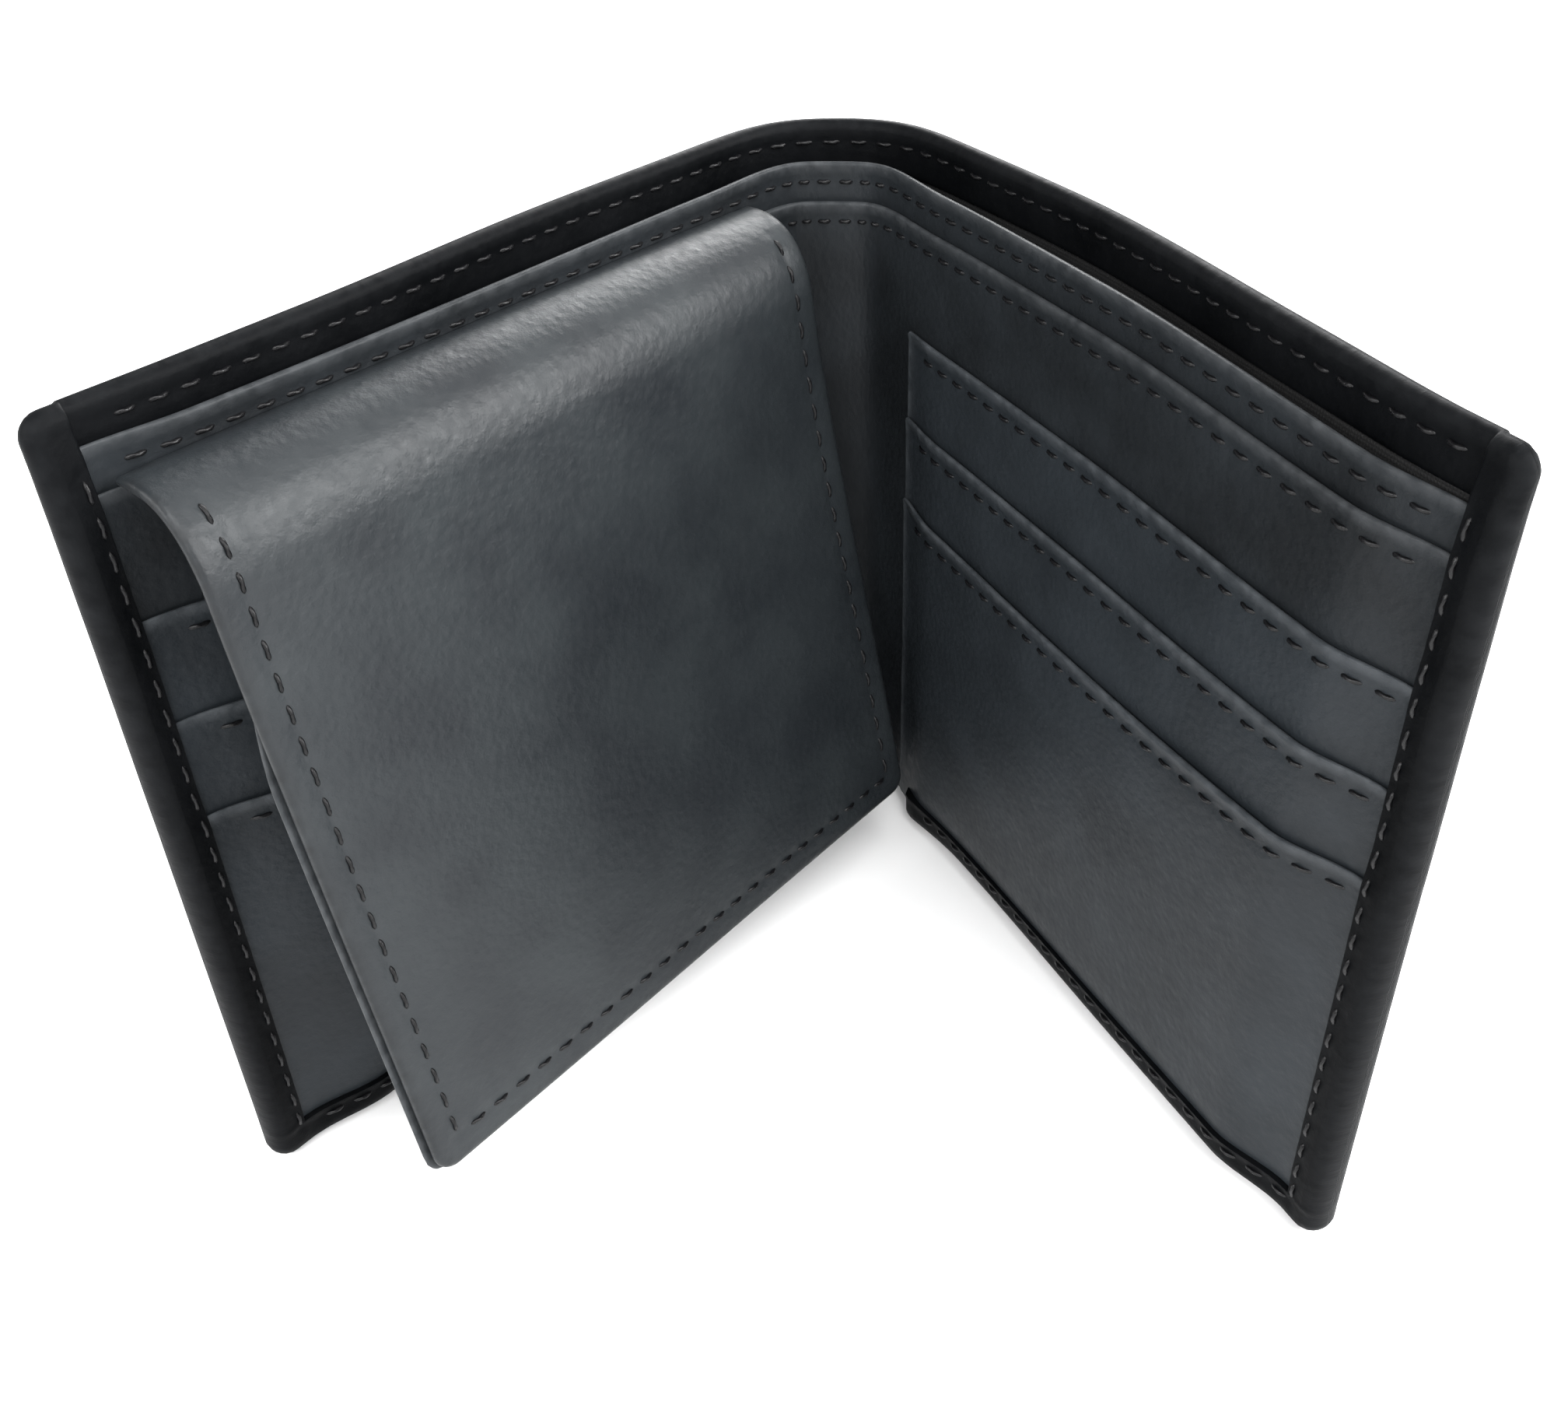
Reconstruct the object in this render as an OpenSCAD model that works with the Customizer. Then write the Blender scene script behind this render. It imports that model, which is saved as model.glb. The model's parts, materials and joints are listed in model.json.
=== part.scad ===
// Leather wallet with three leaves: two cover panels joined by a soft spine,
// and a wing that hangs from the top of the left panel and flips up.
// The wallet stands half open on its bottom edges, with the opening towards -Y.
// The spine has two narrow strips and three upright creases, so it bends the way
// one thick sheet of leather does.

/* [Panels] */
// Height of the cover
panel_h = 95; // [92:0.5:105]
// Length of a panel, from its crease to its outer edge
panel_l = 99.4; // [98:0.2:110]
// Radius of the outer corners
corner_r = 2.5; // [1.5:0.5:5]
// How far the leaves inside stop short of the cover's edges
leaf_inset = 0.8; // [0.4:0.1:1.5]

/* [Spine] */
// Angle between the two panels as the wallet stands
open_angle = 64; // [60:1:68]
// Bend of the middle crease as the wallet stands
mid_bend = 67; // [60:1:70]
// Width of one spine strip
strip_w = 9.6; // [9.4:0.1:10.4]
// Gap left between a strip and its neighbour at a crease
crease_gap = 0.15; // [0.1:0.05:0.3]

/* [Leather] */
// Thickness of the cover leather
cover_t = 1.4; // [1:0.1:1.8]
// Thickness of the bill compartment's lining
lining_t = 0.4; // [0.3:0.1:0.6]
// Thickness of the cover's turned-in hem
hem_t = 0.5; // [0.3:0.1:0.6]
// Depth of the bill compartment, empty
bill_gap = 1.0; // [0.8:0.1:1.2]
// Thickness of the bill divider and of the inner body
leaf_t = 0.7; // [0.5:0.1:0.8]
// Thickness of a card pocket's leaf
pocket_t = 0.5; // [0.4:0.05:0.6]
// Gap between neighbouring leaves
slot_gap = 0.2; // [0.15:0.05:0.25]

/* [Levels] */
// Width of the cover's turned-in hem along the top
hem_w = 6; // [4:0.5:8]
// Width of the cover's edge turned over the leaves, along the side and the bottom
edge_w = 4.4; // [4:0.1:4.5]
// Height of the bill divider's top edge
divider_top = 91.3; // [90:0.1:91.5]
// Height of the inner body's top edge
body_top = 86.8; // [86:0.1:88]
// Height of the top card pocket's mouth
pocket_top = 73.8; // [72:0.1:75]
// Step down from one pocket mouth to the next
pocket_step = 11.35; // [10:0.05:12]
// Depth of a card pocket below its mouth
pocket_depth = 46.5; // [46:0.5:47]
// Distance of the card pockets' inner edge from the crease
pocket_start = 9; // [9:0.5:10]

/* [Wing] */
// Length of the wing from its hinge line to its bottom edge
wing_l = 77; // [74:0.5:80]
// Length of the soft top of the wing, down to the crease above its board
soft_l = 9; // [8.5:0.5:12]
// Half of the gap at that crease
soft_gap = 0.25; // [0.2:0.05:0.3]
// Distance of the wing's inner edge from the crease
wing_start = 7.5; // [7.5:0.5:9]
// Width of the wing along the panel
wing_w = 86.3; // [84:0.1:86.4]
// Angle at which the wing stands off the panel
wing_angle = 13.5; // [10:0.5:13.5]
// Height of the hinge line
hinge_z = 86; // [85:0.1:86.5]
// Thickness of the front leather of the wing
wing_front_t = 0.7; // [0.5:0.1:0.8]
// Thickness of the stiff board inside the wing
wing_board_t = 0.4; // [0.3:0.1:0.5]
// Thickness of the clear window
window_t = 0.2; // [0.15:0.05:0.25]
// Thickness of the leather frame round the window
frame_t = 0.5; // [0.4:0.1:0.6]
// Width of the window frame's border
frame_border = 8; // [6:0.5:12]
// Radius of the hinge roll
roll_r = 1.2; // [1:0.1:1.3]

/* [Thread] */
// Width of a row of thread
thread_w = 0.5; // [0.4:0.1:0.7]
// How far the thread stands proud of the leather
thread_t = 0.2; // [0.15:0.05:0.25]
// Distance of a row from the edge that it follows
seam_in = 2.8; // [2:0.1:3.5]
// Distance of a row below a turned edge
mouth_seam = 1.8; // [1.5:0.1:2.5]

/* [Hidden] */
$fn = 48;

black_leather = [0.10, 0.11, 0.12];
inner_leather = [0.15, 0.16, 0.17];
pocket_leather = [0.20, 0.21, 0.23];
wing_leather = [0.30, 0.32, 0.33];
dark_lining = [0.05, 0.05, 0.06];
black_thread = [0.03, 0.03, 0.03];
board_grey = [0.45, 0.44, 0.42];
clear_vinyl = [0.75, 0.82, 0.88, 0.4];

// Depths, counted inwards from the hinge lines on the lining's face
divider_v = bill_gap;
body_v = divider_v + leaf_t + slot_gap;
pocket_v = [for (i = [0:2]) body_v + leaf_t + slot_gap + i * (pocket_t + slot_gap)];
stack_v = pocket_v[2] + pocket_t;
divider_h = divider_top - leaf_inset;
body_h = body_top - leaf_inset;
pocket_mouth = [for (i = [0:2]) pocket_top - i * pocket_step];
pocket_base = [for (i = [0:2]) i == 2 ? leaf_inset : pocket_mouth[i] - pocket_depth];
// The leaves that the side edge lies on, from the bottom up: where each is in front, and its face
edge_levels = [leaf_inset, pocket_mouth[2], pocket_mouth[1], pocket_mouth[0], body_top];
edge_faces = [stack_v, pocket_v[1] + pocket_t, pocket_v[0] + pocket_t, body_v + leaf_t];
edge_v = stack_v + hem_t;

// The outermost bend is half of what the middle crease leaves
half_open = open_angle / 2;
half_mid = mid_bend / 2;
outer_bend = (180 - open_angle - mid_bend) / 2;
// A leaf at depth v starts this far along, so that it clears its neighbour when the wallet shuts
shut_half_bend = (180 - mid_bend) / 4;
leaf_end = panel_l - leaf_inset;

wing_t = frame_t + window_t + wing_board_t + wing_front_t;
wing_clearance = 0.5;
hinge_v = stack_v + wing_clearance + wing_t / 2;
hinge_gap = 1.5;
anchor_h = 8;
anchor_gap = 0.4;
roll_inset = 1;
board_inset = 1;
window_inset = 2.5;
row_gap = 0.5;

// The model is centred on its own box: the spine is its back,
// and the round corner at the wing's foot or the end of a panel is its front
wing_corner_u = wing_start + wing_w - corner_r;
wing_corner_v = hinge_v + (wing_l - corner_r) * sin(wing_angle) + wing_t / 2 * cos(wing_angle);
corner_reach = corner_r * norm([cos(half_open), sin(half_open) * sin(wing_angle)]);
wing_reach = wing_corner_u * cos(half_open) + wing_corner_v * sin(half_open) + corner_reach;
leaf_reach = leaf_end * cos(half_open) + stack_v * sin(half_open);
back_y = (cover_t + lining_t) * cos(half_mid);
front_y = -strip_w * sin(half_mid) - max(leaf_reach, wing_reach);
mid_y = -(back_y + front_y) / 2;

function start_at(v) = v * tan(shut_half_bend) + crease_gap;
function strip_end(v) = strip_w - v * tan(half_mid) - crease_gap;

// A place along the left panel: X runs from the crease to the outer edge, Y inwards
module on_left() {
    translate([-strip_w * cos(half_mid), mid_y - strip_w * sin(half_mid), 0])
        rotate([0, 0, -90 - half_open])
            children();
}

// A place along the left strip: X runs from the middle crease to the panel's crease
module on_strip() {
    translate([0, mid_y, 0])
        rotate([0, 0, 180 + half_mid])
            children();
}

module mirrored() {
    mirror([1, 0, 0])
        children();
}

// The wing's own frame: its hinge line along X, hanging down -Z, its front towards +Y
module on_wing() {
    on_left()
        translate([wing_start, hinge_v, hinge_z])
            rotate([wing_angle, 0, 0])
                children();
}

// A flat sheet at depth v, standing on its edge
module sheet(x0, x1, z0, z1, v, t) {
    translate([x0, v, z0])
        cube([x1 - x0, t, z1 - z0]);
}

// The same with its outer corners rounded
module round_sheet(x0, x1, z0, z1, v, t, r) {
    translate([0, v + t, 0])
        rotate([90, 0, 0])
            linear_extrude(t)
                round_outline(x0, x1, z0, z1, r);
}

module round_outline(x0, x1, z0, z1, r) {
    translate([x0, z0])
        square([x1 - x0 - r, z1 - z0]);
    translate([x1 - r, z0 + r])
        square([r, z1 - z0 - 2 * r]);
    for (z = [z0 + r, z1 - r])
        translate([x1 - r, z])
            circle(r);
}

module cover_panel() {
    round_sheet(crease_gap, panel_l, 0, panel_h, -cover_t - lining_t, cover_t, corner_r);
}

module lining_panel() {
    sheet(crease_gap, panel_l - seam_in, leaf_inset, panel_h - leaf_inset, -lining_t, lining_t);
}

module hem_panel() {
    sheet(start_at(hem_t), panel_l - seam_in, panel_h - hem_w, panel_h - leaf_inset, 0, hem_t);
}

module divider_panel() {
    round_sheet(start_at(divider_v + leaf_t), leaf_end, leaf_inset, divider_top, divider_v, leaf_t, corner_r);
}

module body_panel() {
    round_sheet(start_at(body_v + leaf_t), leaf_end, leaf_inset, body_top, body_v, leaf_t, corner_r);
}

module card_pocket(i) {
    if (i == 2)
        round_sheet(pocket_start, leaf_end, pocket_base[i], pocket_mouth[i], pocket_v[i], pocket_t, corner_r);
    else
        sheet(pocket_start, leaf_end, pocket_base[i], pocket_mouth[i], pocket_v[i], pocket_t);
}

module level_row(z, v, x0, x1) {
    sheet(x0, x1, z - thread_w / 2, z + thread_w / 2, v, thread_t);
}

module upright_row(x, v, z0, z1) {
    sheet(x - thread_w / 2, x + thread_w / 2, z0, z1, v, thread_t);
}

// The cover's side and bottom edge, turned over the leaves: flat in front, stepped behind
module edge_band() {
    sheet(pocket_start, leaf_end, leaf_inset, leaf_inset + edge_w, stack_v, hem_t);
    for (i = [0:3])
        sheet(leaf_end - edge_w, leaf_end, edge_levels[i], edge_levels[i + 1], edge_faces[i], edge_v - edge_faces[i]);
}

// Rows of thread on one panel: bottom and side, and one under each turned edge
module panel_stitching() {
    x0 = pocket_start + seam_in;
    x1 = leaf_end - edge_w - row_gap;
    side = leaf_end - seam_in;
    level_row(leaf_inset + seam_in, edge_v, x0, side + thread_w / 2);
    upright_row(side, edge_v, leaf_inset + seam_in, body_top - mouth_seam);
    for (i = [0:2])
        level_row(pocket_mouth[i] - mouth_seam, pocket_v[i] + pocket_t, x0, x1);
    level_row(divider_top - mouth_seam, divider_v + leaf_t, x0, x1);
}

module body_row() {
    level_row(body_top - mouth_seam, body_v + leaf_t, pocket_start + seam_in, leaf_end - edge_w - row_gap);
}

module hem_stitching() {
    level_row(panel_h - hem_w + mouth_seam, hem_t, pocket_start, panel_l - 2 * seam_in);
}

module cover_strip() {
    sheet(crease_gap, strip_w - crease_gap, 0, panel_h, -cover_t - lining_t, cover_t);
}

module lining_strip() {
    sheet(crease_gap, strip_w - crease_gap, leaf_inset, panel_h - leaf_inset, -lining_t, lining_t);
}

// A strip of an inner leaf, narrowed so that it clears both creases when they are shut
module inner_strip(v, t, z0, z1) {
    sheet(strip_w - strip_end(v + t), strip_w - start_at(v + t), z0, z1, v, t);
}

module hem_strip() {
    inner_strip(0, hem_t, panel_h - hem_w, panel_h - leaf_inset);
}

module divider_strip() {
    inner_strip(divider_v, leaf_t, leaf_inset, divider_top);
}

module body_strip() {
    inner_strip(body_v, leaf_t, leaf_inset, body_top);
}

// Left panel
module edge_left() { color(black_leather) on_left() edge_band(); }
module cover_left() { color(black_leather) on_left() cover_panel(); }
module lining_left() { color(dark_lining) on_left() lining_panel(); }
module hem_left() { color(black_leather) on_left() hem_panel(); }
module divider_left() { color(inner_leather) on_left() divider_panel(); }
module body_left() { color(inner_leather) on_left() body_panel(); }
module pocket_top_left() { color(pocket_leather) on_left() card_pocket(0); }
module pocket_middle_left() { color(pocket_leather) on_left() card_pocket(1); }
module pocket_bottom_left() { color(pocket_leather) on_left() card_pocket(2); }
module stitching_left() { color(black_thread) on_left() panel_stitching(); }
module stitching_hem_left() { color(black_thread) on_left() hem_stitching(); }

// The wing's root, sewn to the front of the inner body above the card pockets
module wing_anchor() {
    anchor_v = body_v + leaf_t;
    color(wing_leather)
        on_left()
            sheet(wing_start + roll_inset, wing_start + wing_w - roll_inset, body_top - anchor_h, body_top,
                  anchor_v, hinge_v - roll_r - anchor_gap - anchor_v);
}

// Spine
module cover_spine_left() { color(black_leather) on_strip() cover_strip(); }
module lining_spine_left() { color(dark_lining) on_strip() lining_strip(); }
module hem_spine_left() { color(black_leather) on_strip() hem_strip(); }
module divider_spine_left() { color(inner_leather) on_strip() divider_strip(); }
module body_spine_left() { color(inner_leather) on_strip() body_strip(); }
module cover_spine_right() { color(black_leather) mirrored() on_strip() cover_strip(); }
module lining_spine_right() { color(dark_lining) mirrored() on_strip() lining_strip(); }
module hem_spine_right() { color(black_leather) mirrored() on_strip() hem_strip(); }
module divider_spine_right() { color(inner_leather) mirrored() on_strip() divider_strip(); }
module body_spine_right() { color(inner_leather) mirrored() on_strip() body_strip(); }

// Right panel
module edge_right() { color(black_leather) mirrored() on_left() edge_band(); }
module cover_right() { color(black_leather) mirrored() on_left() cover_panel(); }
module lining_right() { color(dark_lining) mirrored() on_left() lining_panel(); }
module hem_right() { color(black_leather) mirrored() on_left() hem_panel(); }
module divider_right() { color(inner_leather) mirrored() on_left() divider_panel(); }
module body_right() { color(inner_leather) mirrored() on_left() body_panel(); }
module pocket_top_right() { color(pocket_leather) mirrored() on_left() card_pocket(0); }
module pocket_middle_right() { color(pocket_leather) mirrored() on_left() card_pocket(1); }
module pocket_bottom_right() { color(pocket_leather) mirrored() on_left() card_pocket(2); }
module stitching_hem_right() { color(black_thread) mirrored() on_left() hem_stitching(); }

module stitching_right() {
    color(black_thread)
        mirrored()
            on_left() {
                panel_stitching();
                body_row();
            }
}

// The wing's leather where it turns over its hinge line
module wing_hinge() {
    color(wing_leather)
        on_wing()
            translate([roll_inset, 0, 0])
                rotate([0, 90, 0])
                    cylinder(h = wing_w - 2 * roll_inset, r = roll_r);
}

// The soft top of the wing, between the hinge line and the crease
module wing_top() {
    color(wing_leather)
        on_wing()
            sheet(0, wing_w, soft_gap - soft_l, -hinge_gap, -wing_t / 2, wing_t);
}

// A layer of the wing's stiff part, at depth y from its back face
module wing_layer(y, t, margin) {
    sheet(margin, wing_w - margin, margin - wing_l, -soft_l - soft_gap, y - wing_t / 2, t);
}

module wing_front() {
    color(wing_leather)
        on_wing()
            translate([0, wing_t / 2, 0])
                rotate([90, 0, 0])
                    linear_extrude(wing_front_t)
                        wing_outline();
}

// The stiff part is square at the crease and has small round corners at its foot
module wing_outline() {
    r = corner_r;
    translate([0, r - wing_l])
        square([wing_w, wing_l - soft_l - soft_gap - r]);
    translate([r, -wing_l])
        square([wing_w - 2 * r, r]);
    for (x = [r, wing_w - r])
        translate([x, r - wing_l])
            circle(r);
}

module wing_board() {
    color(board_grey)
        on_wing()
            wing_layer(frame_t + window_t, wing_board_t, board_inset);
}

module id_window() {
    color(clear_vinyl)
        on_wing()
            wing_layer(frame_t, window_t, window_inset);
}

module window_frame() {
    window_z = -wing_l + frame_border;
    window_h = wing_l - soft_l - soft_gap - 2 * frame_border;
    color(inner_leather)
        on_wing()
            translate([0, frame_t - wing_t / 2, 0])
                rotate([90, 0, 0])
                    linear_extrude(frame_t)
                        difference() {
                            wing_outline();
                            translate([frame_border, window_z])
                                square([wing_w - 2 * frame_border, window_h]);
                        }
}

module stitching_wing() {
    color(black_thread)
        on_wing() {
            level_row(seam_in - wing_l, wing_t / 2, seam_in, wing_w - seam_in);
            for (x = [seam_in, wing_w - seam_in])
                upright_row(x, wing_t / 2, seam_in - wing_l, -soft_l - seam_in);
        }
}

cover_left();
lining_left();
hem_left();
divider_left();
body_left();
pocket_top_left();
pocket_middle_left();
pocket_bottom_left();
edge_left();
wing_anchor();
stitching_left();
stitching_hem_left();
cover_spine_left();
lining_spine_left();
hem_spine_left();
divider_spine_left();
body_spine_left();
cover_spine_right();
lining_spine_right();
hem_spine_right();
divider_spine_right();
body_spine_right();
cover_right();
lining_right();
hem_right();
divider_right();
body_right();
pocket_top_right();
pocket_middle_right();
pocket_bottom_right();
edge_right();
stitching_right();
stitching_hem_right();
wing_hinge();
wing_top();
wing_front();
wing_board();
id_window();
window_frame();
stitching_wing();
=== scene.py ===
"""Looks of the leather wallet: two panels on a soft fold, card pockets, and a wing on the left panel.

Lengths are in millimetres until a mesh is made. A place is written (q, v, z). q runs from the middle of
the fold, positive along the left panel and negative along the right one. v is the depth inwards from the
lining's face.
"""

import json
import math

import bpy
import numpy as np
from mathutils import Matrix, Vector


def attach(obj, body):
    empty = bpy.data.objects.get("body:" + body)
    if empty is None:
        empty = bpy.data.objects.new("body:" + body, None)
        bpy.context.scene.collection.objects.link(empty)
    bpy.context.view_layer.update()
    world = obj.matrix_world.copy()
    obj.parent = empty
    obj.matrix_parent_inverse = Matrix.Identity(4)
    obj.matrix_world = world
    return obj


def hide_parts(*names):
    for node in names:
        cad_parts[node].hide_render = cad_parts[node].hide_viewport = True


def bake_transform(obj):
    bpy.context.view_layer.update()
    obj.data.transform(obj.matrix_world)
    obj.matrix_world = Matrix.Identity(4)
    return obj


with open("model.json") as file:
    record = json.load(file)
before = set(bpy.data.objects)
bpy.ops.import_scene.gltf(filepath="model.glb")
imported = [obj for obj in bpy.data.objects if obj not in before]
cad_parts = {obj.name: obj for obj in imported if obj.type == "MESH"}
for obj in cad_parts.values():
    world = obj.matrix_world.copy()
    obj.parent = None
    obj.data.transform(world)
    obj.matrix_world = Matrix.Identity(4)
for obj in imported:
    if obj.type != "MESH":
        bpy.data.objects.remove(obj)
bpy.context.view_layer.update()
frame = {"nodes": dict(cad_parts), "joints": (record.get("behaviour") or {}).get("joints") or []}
scene = bpy.context.scene
MM = 0.001

# ---------------------------------------------------------------- the frame's own sizes
JOINTS = {joint["name"]: joint for joint in frame["joints"]}


def joint_at(name):
    return np.array(JOINTS[name]["pos_m"], float) / MM


CREASE = joint_at("fold_left")[:2]
MIDDLE = joint_at("fold_middle")[:2]
ALONG = np.array(JOINTS["wing_flip"]["axis"], float)[:2]
ALONG *= -np.sign(ALONG[1]) / np.linalg.norm(ALONG)
INWARD = np.array([-ALONG[1], ALONG[0]])
STRIP = float(np.linalg.norm(CREASE - MIDDLE))
HINGE = joint_at("wing_flip")
WING_DOWN = joint_at("wing_settle") - HINGE
WING_DOWN /= np.linalg.norm(WING_DOWN)


def extent(node):
    """Lowest and highest (u, v, z) of a CAD node in its own panel's directions."""
    points = np.array([vertex.co for vertex in frame["nodes"][node].data.vertices], float) / MM
    if node.endswith("_right"):
        points[:, 0] *= -1
    flat = points[:, :2] - CREASE
    local = np.stack([flat @ ALONG, flat @ INWARD, points[:, 2]], 1)
    return local.min(0), local.max(0)


COVER = extent("cover_left")
LINING = extent("lining_left")
HEM = extent("hem_left")
DIVIDER = extent("divider_left")
BODY = extent("body_left")
POCKETS = [extent(f"pocket_{kind}_left") for kind in ("top", "middle", "bottom")]
WING = extent("wing_front")

PANEL_END = STRIP + COVER[1][0]
PANEL_TOP = COVER[1][2]
COVER_BACK = COVER[0][1]
COVER_FRONT = COVER[1][1]
HEM_T = HEM[1][1]
HEM_Z = HEM[0][2]
STACK_V = POCKETS[2][1][1]
POCKET_START = STRIP + POCKETS[0][0][0]

# Turned edge: its width at the sides and the foot, the radius of corners, and where the leaves end
SIDE_W = 4.4
BAND_Z = 5.2
CORNER_R = 2.5
LEAF_END = PANEL_END - 2.2

# ---------------------------------------------------------------- shapes read from the photo
# The fold in plan: how far it is set back, the handles of its curve at the middle and at the panel,
# and how far along the panel the curve ends
FOLD_BACK = 1.54
FOLD_HANDLE = 9.0
PANEL_HANDLE = 14.0
STRAIGHT_FROM = 16.0
# How far the inner leaves stand off at the fold, and over what width
FOLD_STAND = 2.8
FOLD_SPREAD = 16.0
# How far the cover gapes at its top, on the left and on the right
COVER_GAPE = {1: 0.6, -1: 2.3}
# The right panel's leaves: how much further they stand off beside the fold, and how far their tops drop
RIGHT_STAND = 0.2
RIGHT_DROP = 2.2
# Where a sheet begins to turn with the spine: the snug ones, and the right panel's loose leaves
SNUG_Q = STRIP + 8
LOOSE_Q = 36.0
# Share of the depth that is kept at the sides, and share that is pressed away at the foot
SIDE_PRESS = 0.5
FOOT_PRESS = 0.2
# Largest radius of a rim, which is otherwise half of the sheet's thickness
RIM_R = 1.7
# Where the sheets that cross the fold are parted, on the spine strips
CUT = STRIP / 2 + 0.3
# Stitches: pitch, length and radius of the thread
STITCH = 3.4
STITCH_L = 2.3
THREAD_R = 0.23
# Sag of the pocket mouths and bulge of the pockets, from the top one down
POCKET_SAG = (0.8, 1.2, 1.8)
POCKET_PUFF = (0.0, 0.1, 0.2)
# Rows of stitches
HEM_ROW = PANEL_TOP - 2.5
SIDE_ROW = PANEL_END - 3.4
BAND_ROW = 3.5
ROW_DROP = 2.4
# Spacing of the grid
FINE = 1.13
# Seeds of the ripple. The pockets and the turned edge share the inner body's
BODY_SEED = 1.9
DIVIDER_SEED = 0.7
# Depth of the layers under the turned edge, by height: it falls as one leaf after another ends
STACK = (
    (0, STACK_V), (50, STACK_V), (54, 4.0), (72, 3.8), (76, 3.2),
    (85, 2.7), (88, 1.9), (90, 1.6), (93, 0.4), (95, 0.2),
)


def smooth(low, high, x):
    t = np.clip((x - low) / (high - low), 0.0, 1.0)
    return t * t * (3 - 2 * t)


def bow(u):
    """How far the panel bends outwards at u."""
    return 0.6 + 0.65 * (1 + np.cos(math.pi * np.clip((u - 30) / 40, 0, 1)))


def bezier(a, b, c, d, count=240):
    t = np.linspace(0, 1, count)[:, None]
    return (1 - t) ** 3 * a + 3 * (1 - t) ** 2 * t * b + 3 * (1 - t) * t * t * c + t ** 3 * d


def measured(points):
    """Distance along a line of points."""
    return np.concatenate([[0], np.cumsum(np.linalg.norm(np.diff(points, axis=0), axis=1))])


def fold_curve():
    """The lining's face in plan, from the middle of the fold to past the left panel's end, by distance."""
    start = np.array([0.0, MIDDLE[1] - FOLD_BACK])
    end = CREASE + STRAIGHT_FROM * ALONG - bow(STRAIGHT_FROM) * INWARD
    turn = bezier(start, start + np.array([-FOLD_HANDLE, 0]), end - PANEL_HANDLE * ALONG, end)
    turn_q = measured(turn)
    turn_q *= (STRIP + STRAIGHT_FROM) / turn_q[-1]
    u = np.arange(STRAIGHT_FROM + 0.25, PANEL_END - STRIP + 3, 0.25)
    panel = CREASE + u[:, None] * ALONG - bow(u)[:, None] * INWARD
    points = np.concatenate([turn, panel])
    q = np.concatenate([turn_q, u + STRIP])
    slope = np.gradient(points, q, axis=0)
    slope /= np.linalg.norm(slope, axis=1)[:, None]
    slope[0] = (-1, 0)
    return q, points, np.stack([-slope[:, 1], slope[:, 0]], 1)


CURVE_Q, CURVE, CURVE_IN = fold_curve()


def place(q, v, z):
    """A point of the wallet at rest."""
    q, v, z = np.broadcast_arrays(np.asarray(q, float), v, z)
    a = np.abs(q)
    x = np.interp(a, CURVE_Q, CURVE[:, 0]) + v * np.interp(a, CURVE_Q, CURVE_IN[:, 0])
    y = np.interp(a, CURVE_Q, CURVE[:, 1]) + v * np.interp(a, CURVE_Q, CURVE_IN[:, 1])
    return np.stack([np.where(q < 0, -x, x), y, z], -1)


# ---------------------------------------------------------------- materials
def nodes_of(name):
    material = bpy.data.materials.new(name)
    material.use_nodes = True
    tree = material.node_tree
    return material, tree, tree.nodes["Principled BSDF"]


def add(tree, kind, links=(), **values):
    """A node with its options and input values set, and its inputs linked."""
    node = tree.nodes.new(kind)
    for key, value in values.items():
        if key in node.inputs:
            node.inputs[key].default_value = value
        else:
            setattr(node, key, value)
    for socket, source in links:
        tree.links.new(source, node.inputs[socket])
    return node


def flat_place(tree):
    """The place on the flat sheet, in millimetres, which stays with the leather when it bends."""
    return add(tree, "ShaderNodeAttribute", attribute_name="flat").outputs["Vector"]


def ramp(tree, source, low, high, to_low, to_high):
    node = add(tree, "ShaderNodeMapRange", [("Value", source)])
    for socket, value in zip(("From Min", "From Max", "To Min", "To Max"), (low, high, to_low, to_high)):
        node.inputs[socket].default_value = value
    return node.outputs["Result"]


def mix(tree, share, low, high):
    node = add(tree, "ShaderNodeMix", data_type="RGBA")
    tree.links.new(share, node.inputs[0])
    for socket, value in ((6, low), (7, high)):
        if hasattr(value, "is_output"):
            tree.links.new(value, node.inputs[socket])
        else:
            node.inputs[socket].default_value = (*value, 1)
    return node.outputs[2]


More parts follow.
